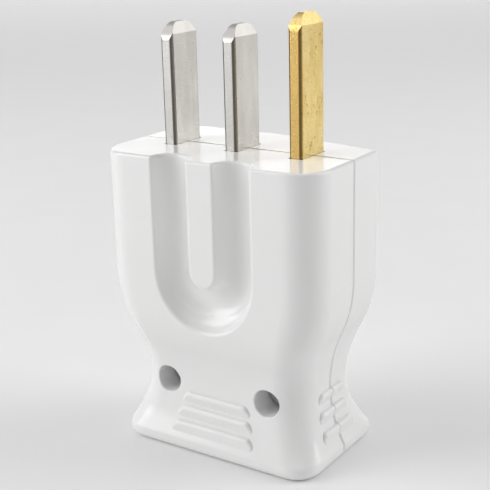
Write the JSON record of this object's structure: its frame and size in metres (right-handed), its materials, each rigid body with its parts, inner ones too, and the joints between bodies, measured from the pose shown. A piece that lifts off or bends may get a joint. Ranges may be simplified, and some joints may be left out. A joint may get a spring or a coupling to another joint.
{
  "type": "three-blade cooker plug",
  "caption": "White two-shell cooker plug with flat parallel blades, U channel in the front, waisted grip and flared foot with a round cable entry.",
  "frame": {"origin": "centre of the foot's underside, on the joint between the two shells", "axes": "+Z from the foot up along the blades, +X along the row of blades towards the earth blade, -Y out of the face with the U channel"},
  "size_m": [0.0542, 0.0332, 0.0965],
  "materials": {
    "shell_white": "glossy moulded white plastic",
    "pin_nickel": "satin nickel plate over brass",
    "pin_brass": "bare satin brass",
    "plate_brass": "stamped brass",
    "screw_zinc": "bright zinc plated steel",
    "clamp_grey": "moulded grey plastic"
  },
  "bodies": {
    "root": {"cord_clamp_bar": "clamp_grey", "earth_blade": "pin_brass", "earth_clamp_plate": "plate_brass", "earth_terminal_screw": "screw_zinc", "front_shell": "shell_white", "left_clamp_screw": "screw_zinc", "left_housing_nut": "screw_zinc", "left_housing_screw": "screw_zinc", "line_blade": "pin_nickel", "line_clamp_plate": "plate_brass", "line_terminal_screw": "screw_zinc", "neutral_blade": "pin_nickel", "neutral_clamp_plate": "plate_brass", "neutral_terminal_screw": "screw_zinc", "rear_shell": "shell_white", "right_clamp_screw": "screw_zinc", "right_housing_nut": "screw_zinc", "right_housing_screw": "screw_zinc"}
  },
  "joints": []
}
